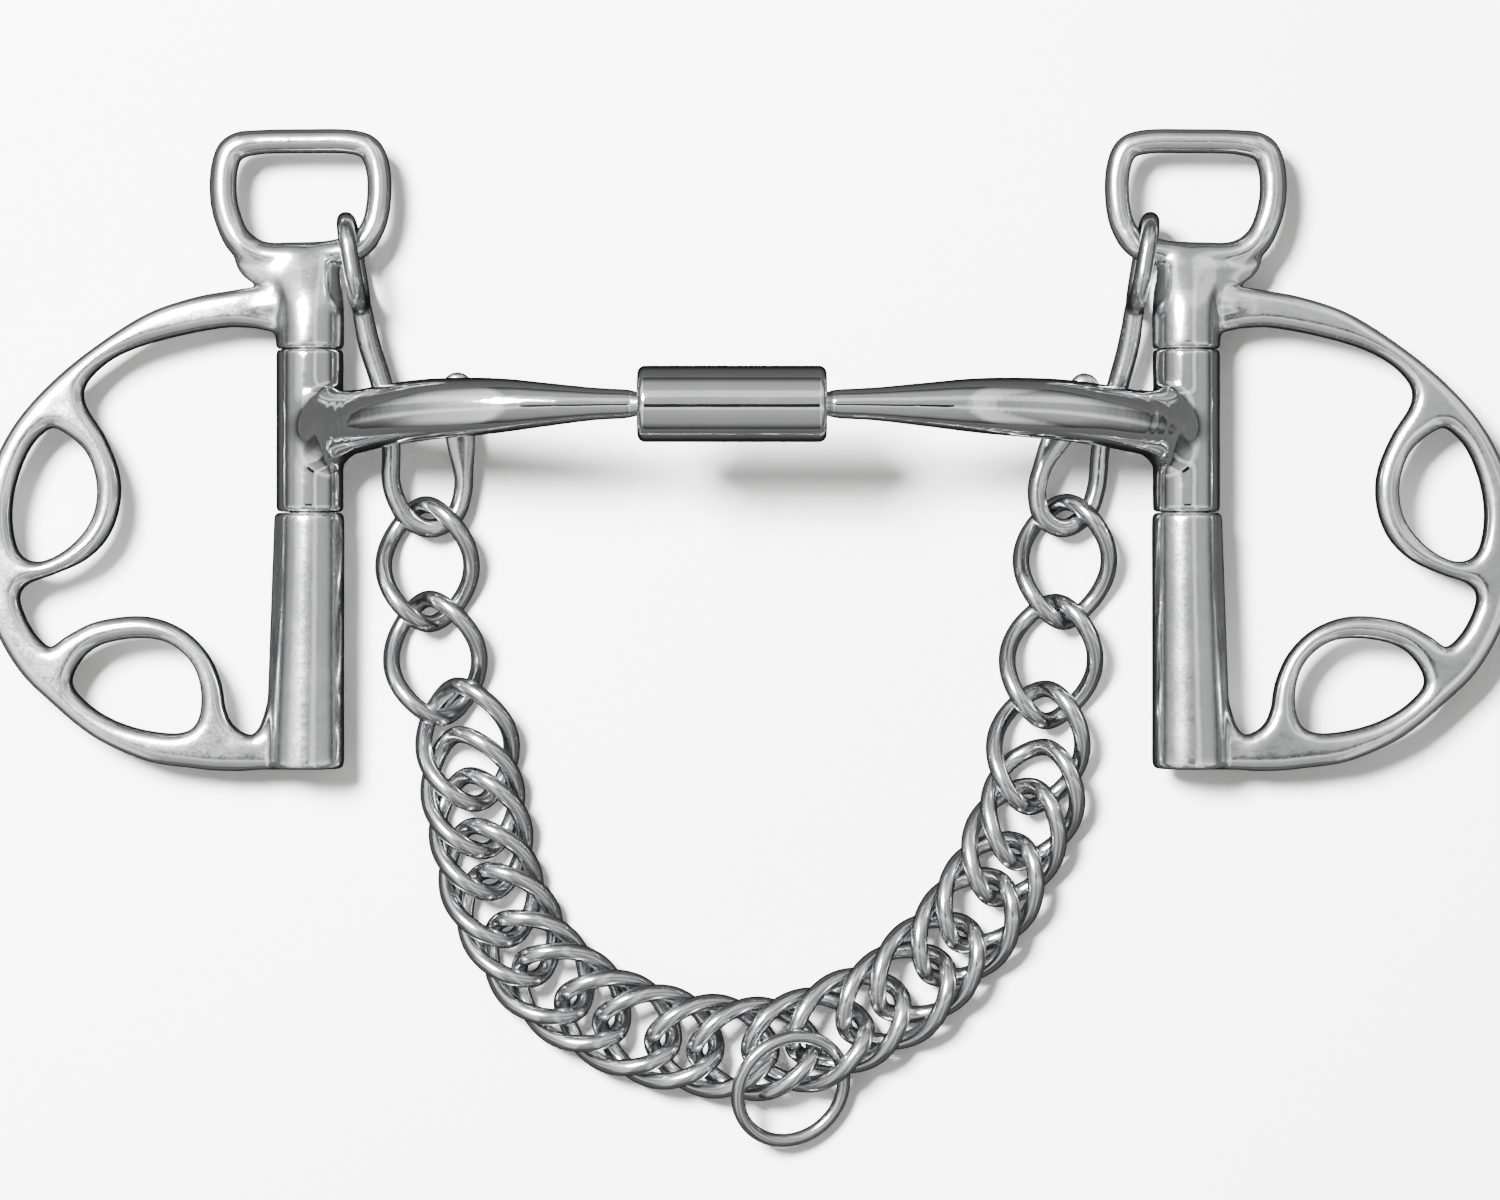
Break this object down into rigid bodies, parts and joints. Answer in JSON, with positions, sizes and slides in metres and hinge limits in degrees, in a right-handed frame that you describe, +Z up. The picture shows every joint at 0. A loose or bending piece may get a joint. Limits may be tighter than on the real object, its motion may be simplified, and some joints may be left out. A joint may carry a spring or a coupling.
{
  "type": "curb bit",
  "caption": "Curb bit with slotted swivelling cheeks, a jointed centre-barrel mouthpiece, curb hooks and a double-link curb chain.",
  "frame": {"origin": "middle of the bounding box in X and Y, at its lowest level", "axes": "+X from the left cheek to the right cheek, +Y from the curb chain towards the headstall loops, +Z up from the surface it lies on"},
  "size_m": [0.241, 0.1605, 0.0364],
  "materials": {
    "polished_steel": "polished stainless steel",
    "chain_steel": "polished stainless steel wire",
    "bearing_steel": "turned steel"
  },
  "bodies": {
    "left_mouth": {"left_mouth_bar": "polished_steel", "alignment_spindle": "bearing_steel"},
    "right_mouth": {"right_mouth_bar": "polished_steel"},
    "barrel": {"centre_barrel": "polished_steel", "barrel_bush_left": "bearing_steel", "barrel_bush_right": "bearing_steel"},
    "left_cheekpiece": {"left_cheek": "polished_steel", "left_swivel_pin": "bearing_steel"},
    "right_cheekpiece": {"right_cheek": "polished_steel", "right_swivel_pin": "bearing_steel"},
    "left_hook": {"left_curb_hook": "polished_steel"},
    "right_hook": {"right_curb_hook": "polished_steel"},
    "left_link_1": {"left_single_link_1": "chain_steel"},
    "left_link_2": {"left_single_link_2": "chain_steel"},
    "left_link_3": {"left_single_link_3": "chain_steel"},
    "double_pair_1": {"double_link_1a": "chain_steel", "double_link_1b": "chain_steel"},
    "double_pair_2": {"double_link_2a": "chain_steel", "double_link_2b": "chain_steel"},
    "double_pair_3": {"double_link_3a": "chain_steel", "double_link_3b": "chain_steel"},
    "double_pair_4": {"double_link_4a": "chain_steel", "double_link_4b": "chain_steel"},
    "double_pair_5": {"double_link_5a": "chain_steel", "double_link_5b": "chain_steel"},
    "double_pair_6": {"double_link_6a": "chain_steel", "double_link_6b": "chain_steel"},
    "double_pair_7": {"double_link_7a": "chain_steel", "double_link_7b": "chain_steel"},
    "double_pair_8": {"double_link_8a": "chain_steel", "double_link_8b": "chain_steel"},
    "double_pair_9": {"double_link_9a": "chain_steel", "double_link_9b": "chain_steel"},
    "right_link_3": {"right_single_link_3": "chain_steel"},
    "right_link_2": {"right_single_link_2": "chain_steel"},
    "right_link_1": {"right_single_link_1": "chain_steel"},
    "strap_ring": {"lip_strap_ring": "chain_steel"}
  },
  "joints": [
    {"name": "barrel_spin", "type": "hinge", "parent": "left_mouth", "child": "barrel", "pos_m": [-0.00245, 0.0363, 0.0306], "axis": [1, 0, 0], "continuous": true},
    {"name": "right_mouth_turn", "type": "hinge", "parent": "left_mouth", "child": "right_mouth", "pos_m": [-0.00245, 0.0363, 0.0306], "axis": [1, 0, 0], "range_deg": [-3, 0.5]},
    {"name": "left_cheek_swivel", "type": "hinge", "parent": "left_mouth", "child": "left_cheekpiece", "pos_m": [-0.069, 0.033, 0.0076], "axis": [0, 1, 0], "range_deg": [-8, 8]},
    {"name": "right_cheek_swivel", "type": "hinge", "parent": "right_mouth", "child": "right_cheekpiece", "pos_m": [0.069, 0.033, 0.0076], "axis": [0, -1, 0], "range_deg": [-8, 8]},
    {"name": "left_hook_swing", "type": "hinge", "parent": "left_mouth", "child": "left_hook", "pos_m": [-0.0621, 0.06244, 0.0076], "axis": [1, 0, 0], "range_deg": [-7, 6]},
    {"name": "right_hook_swing", "type": "hinge", "parent": "left_mouth", "child": "right_hook", "pos_m": [0.0621, 0.06244, 0.0076], "axis": [1, 0, 0], "range_deg": [-7, 6]},
    {"name": "chain_swing", "type": "hinge", "parent": "left_hook", "child": "left_link_1", "pos_m": [-0.0502, 0.0192, 0.0043], "axis": [1, 0, 0], "range_deg": [-12, 15]},
    {"name": "chain_bend_1", "type": "hinge", "parent": "left_link_1", "child": "left_link_2", "pos_m": [-0.0501, 0.00443, 0.0042], "axis": [1, 0, 0], "range_deg": [-20, 4]},
    {"name": "chain_bend_2", "type": "hinge", "parent": "left_link_2", "child": "left_link_3", "pos_m": [-0.047, -0.00999, 0.0032], "axis": [-1, 0, 0], "range_deg": [-20, 16]},
    {"name": "chain_bend_3", "type": "hinge", "parent": "left_link_3", "child": "double_pair_1", "pos_m": [-0.0437, -0.0205, 0.0042], "axis": [1, 0, 0], "range_deg": [-10, 7]},
    {"name": "chain_bend_4", "type": "hinge", "parent": "double_pair_1", "child": "double_pair_2", "pos_m": [-0.041, -0.03525, 0.0042], "axis": [-1, 0, 0], "range_deg": [-7, 10]},
    {"name": "chain_bend_5", "type": "hinge", "parent": "double_pair_2", "child": "double_pair_3", "pos_m": [-0.0345, -0.0472, 0.0032], "axis": [1, 0, 0], "range_deg": [-5, 6]},
    {"name": "chain_bend_6", "type": "hinge", "parent": "double_pair_3", "child": "double_pair_4", "pos_m": [-0.0243, -0.0559, 0.0042], "axis": [-1, 0, 0], "range_deg": [-3, 4]},
    {"name": "chain_bend_7", "type": "hinge", "parent": "double_pair_4", "child": "double_pair_5", "pos_m": [-0.01, -0.06105, 0.0042], "axis": [1, 0, 0], "range_deg": [-4, 5]},
    {"name": "chain_return_7", "type": "hinge", "parent": "double_pair_5", "child": "double_pair_6", "pos_m": [0.0063, -0.06105, 0.0042], "axis": [-1, 0, 0], "range_deg": [-4, 5]},
    {"name": "chain_return_6", "type": "hinge", "parent": "double_pair_6", "child": "double_pair_7", "pos_m": [0.0216, -0.0559, 0.0042], "axis": [1, 0, 0], "range_deg": [-3, 4]},
    {"name": "chain_return_5", "type": "hinge", "parent": "double_pair_7", "child": "double_pair_8", "pos_m": [0.0312, -0.0472, 0.0032], "axis": [-1, 0, 0], "range_deg": [-5, 6]},
    {"name": "chain_return_4", "type": "hinge", "parent": "double_pair_8", "child": "double_pair_9", "pos_m": [0.04, -0.03525, 0.0042], "axis": [1, 0, 0], "range_deg": [-7, 10]},
    {"name": "chain_return_3", "type": "hinge", "parent": "double_pair_9", "child": "right_link_3", "pos_m": [0.0449, -0.0205, 0.0042], "axis": [-1, 0, 0], "range_deg": [-10, 7]},
    {"name": "chain_return_2", "type": "hinge", "parent": "right_link_3", "child": "right_link_2", "pos_m": [0.0468, -0.00999, 0.0032], "axis": [1, 0, 0], "range_deg": [-20, 16]},
    {"name": "chain_return_1", "type": "hinge", "parent": "right_link_2", "child": "right_link_1", "pos_m": [0.049, 0.00443, 0.0042], "axis": [-1, 0, 0], "range_deg": [-20, 4]},
    {"name": "strap_ring_turn", "type": "hinge", "parent": "double_pair_6", "child": "strap_ring", "pos_m": [0.00675, -0.07073, 0.00667], "axis": [0.3381, -0.3214, 0.8845], "continuous": true}
  ],
  "couplings": [
    {"joint": "right_hook_swing", "follows": "left_hook_swing", "ratio": 1},
    {"joint": "chain_return_7", "follows": "chain_bend_7", "ratio": 1},
    {"joint": "chain_return_6", "follows": "chain_bend_6", "ratio": 1},
    {"joint": "chain_return_5", "follows": "chain_bend_5", "ratio": 1},
    {"joint": "chain_return_4", "follows": "chain_bend_4", "ratio": 1},
    {"joint": "chain_return_3", "follows": "chain_bend_3", "ratio": 1},
    {"joint": "chain_return_2", "follows": "chain_bend_2", "ratio": 1},
    {"joint": "chain_return_1", "follows": "chain_bend_1", "ratio": 1}
  ]
}
